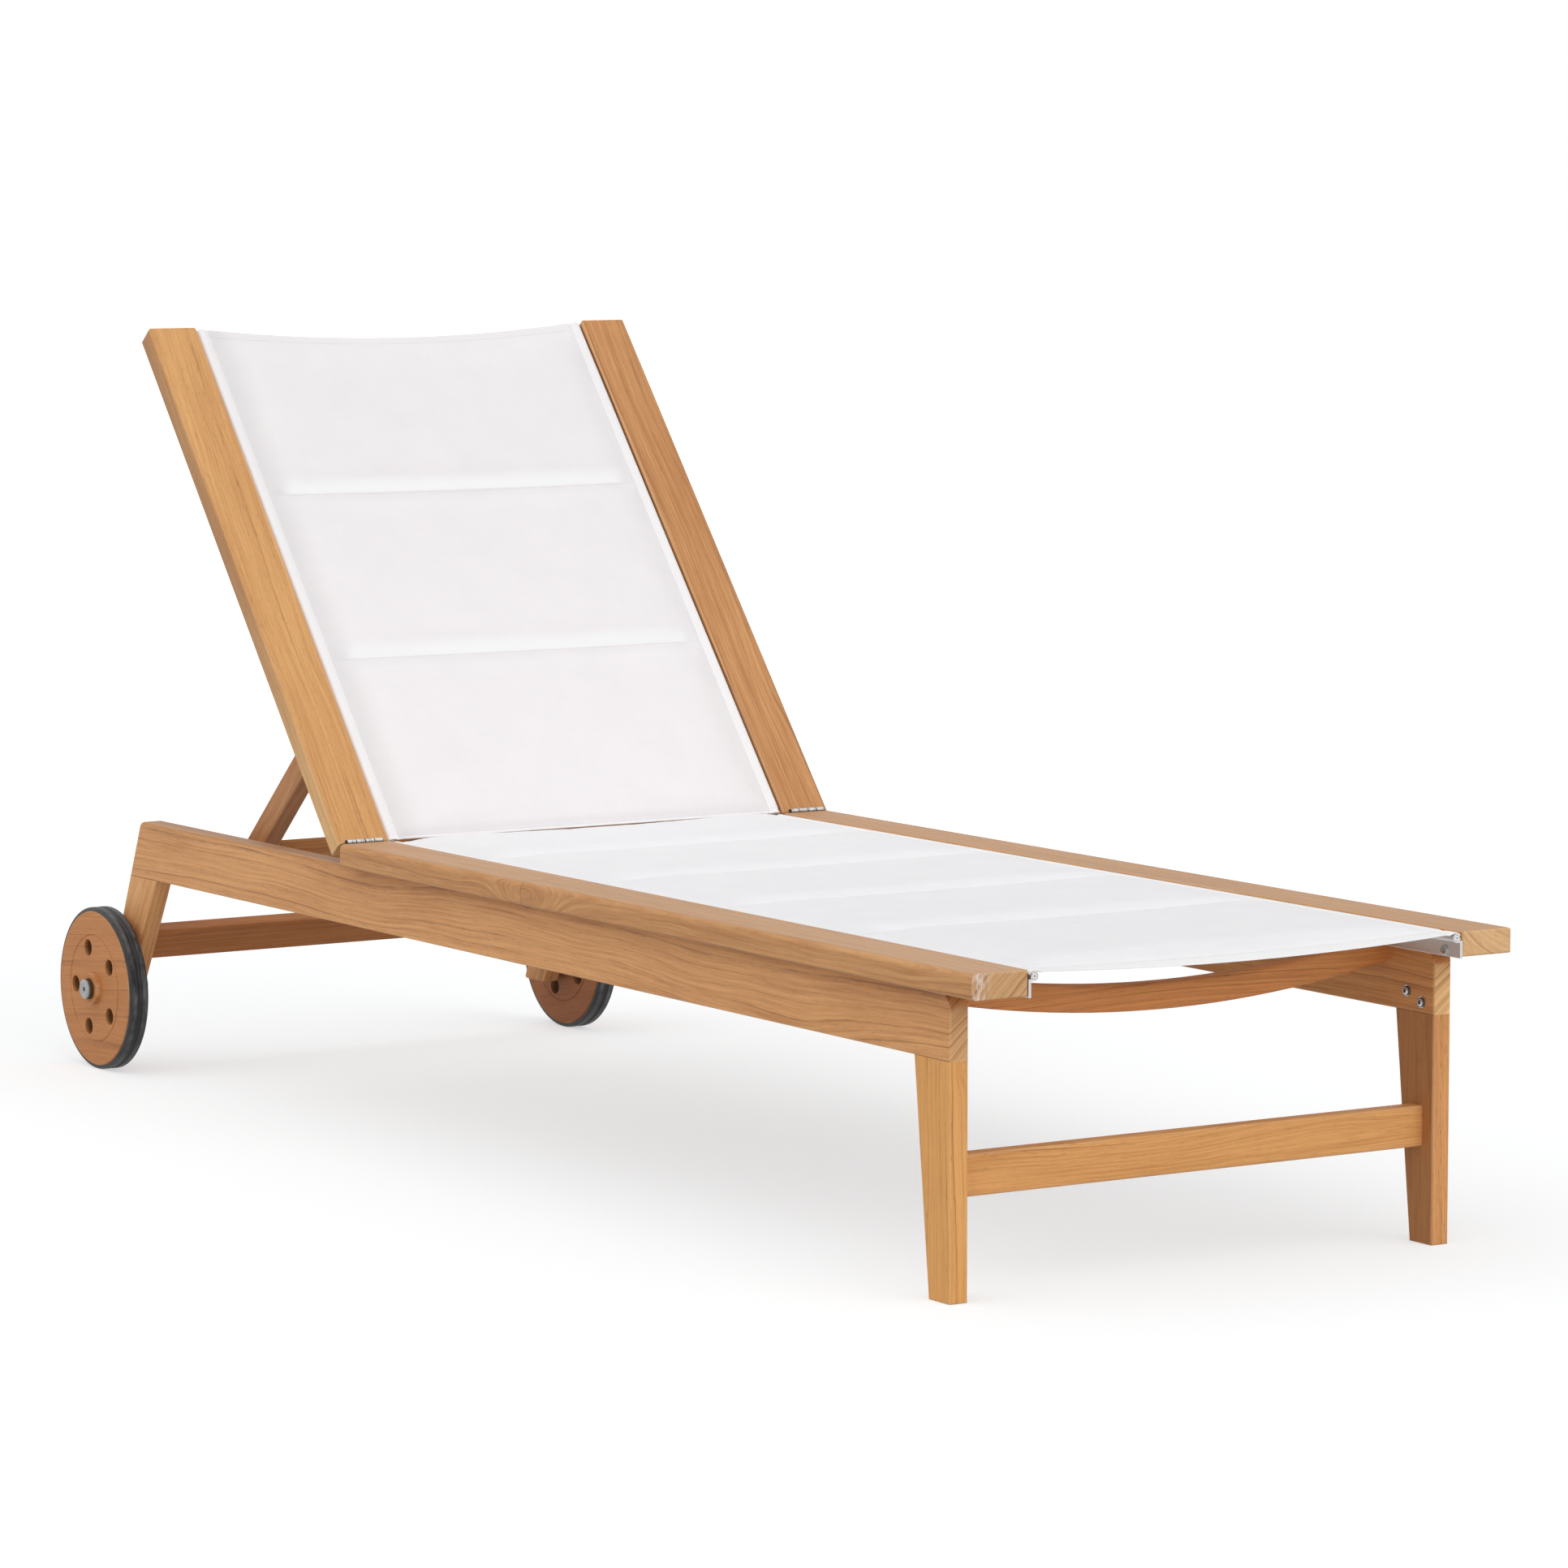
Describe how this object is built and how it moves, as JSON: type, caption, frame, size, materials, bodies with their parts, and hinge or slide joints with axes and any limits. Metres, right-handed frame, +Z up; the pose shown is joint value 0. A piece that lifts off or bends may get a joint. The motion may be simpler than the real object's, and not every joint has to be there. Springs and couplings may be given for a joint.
{
  "type": "sun lounger",
  "caption": "Teak sun lounger with padded white sling seat, reclining sling back held by a notched prop, and wooden wheels with rubber tyres.",
  "frame": {"origin": "centre of the bounding box's base, on the ground", "axes": "+Y from the foot end to the head end, +X across to the right seen from the foot end, +Z up"},
  "size_m": [0.7036, 1.9566, 0.8914],
  "materials": {
    "teak": "matte oiled teak with long straight grain",
    "teak_inner": "matte oiled teak, on the cross rails, racks and dowels",
    "sling_fabric": "white woven sling fabric over thin padding, matte",
    "keder_cord": "white hollow piping cord",
    "track_aluminium": "satin extruded aluminium",
    "steel": "satin stainless steel",
    "tyre_rubber": "matte black rubber",
    "bush_nylon": "black nylon bush"
  },
  "bodies": {
    "frame": {"seat_rail_left": "teak", "seat_rail_right": "teak", "beam_left": "teak", "beam_right": "teak", "front_leg_left": "teak", "front_leg_right": "teak", "rear_leg_left": "teak", "rear_leg_right": "teak", "front_stretcher": "teak", "rear_stretcher": "teak", "front_bow_rail": "teak_inner", "rear_bow_rail": "teak_inner", "rail_dowels": "teak_inner", "leg_bolts": "steel", "leg_washers": "steel", "rack_left": "teak_inner", "rack_right": "teak_inner", "frame_screws": "steel", "seat_track_left": "track_aluminium", "seat_track_right": "track_aluminium", "seat_track_screws": "steel", "seat_keders": "keder_cord", "seat_sling": "sling_fabric", "seat_hinge_leaf_left": "steel", "seat_hinge_leaf_right": "steel", "hinge_pins": "steel", "seat_hinge_screws": "steel", "axle_left": "steel", "axle_right": "steel", "axle_nuts": "steel", "axle_washers": "steel", "hub_caps": "steel"},
    "backrest": {"back_board_left": "teak", "back_board_right": "teak", "low_bow_rail": "teak_inner", "top_bow_rail": "teak_inner", "back_bow_screws": "steel", "back_track_left": "track_aluminium", "back_track_right": "track_aluminium", "back_track_screws": "steel", "back_keders": "keder_cord", "back_sling": "sling_fabric", "back_hinge_leaf_left": "steel", "back_hinge_leaf_right": "steel", "back_hinge_screws": "steel", "pivot_bracket_left": "steel", "pivot_bracket_right": "steel", "bracket_screws": "steel", "pivot_bolts": "steel", "pivot_nuts": "steel"},
    "prop": {"prop_strut_left": "teak", "prop_strut_right": "teak", "prop_rail": "teak_inner", "prop_dowel": "teak_inner"},
    "wheel_left": {"wheel_disc_left": "teak", "tyre_left": "tyre_rubber", "hub_bush_left": "bush_nylon"},
    "wheel_right": {"wheel_disc_right": "teak", "tyre_right": "tyre_rubber", "hub_bush_right": "bush_nylon"}
  },
  "joints": [
    {"name": "backrest_hinge", "type": "hinge", "parent": "frame", "child": "backrest", "pos_m": [0, 0.27975, 0.3312], "axis": [1, 0, 0], "range_deg": [-50.5, 18]},
    {"name": "prop_pivot", "type": "hinge", "parent": "backrest", "child": "prop", "pos_m": [0, 0.43573, 0.45015], "axis": [1, 0, 0], "range_deg": [-32, 90]},
    {"name": "wheel_left_axle", "type": "hinge", "parent": "frame", "child": "wheel_left", "pos_m": [-0.2935, 0.88075, 0.0975], "axis": [1, 0, 0], "continuous": true},
    {"name": "wheel_right_axle", "type": "hinge", "parent": "frame", "child": "wheel_right", "pos_m": [0.2935, 0.88075, 0.0975], "axis": [1, 0, 0], "continuous": true}
  ],
  "couplings": [
    {"joint": "prop_pivot", "follows": "backrest_hinge", "ratio": -1.775}
  ]
}
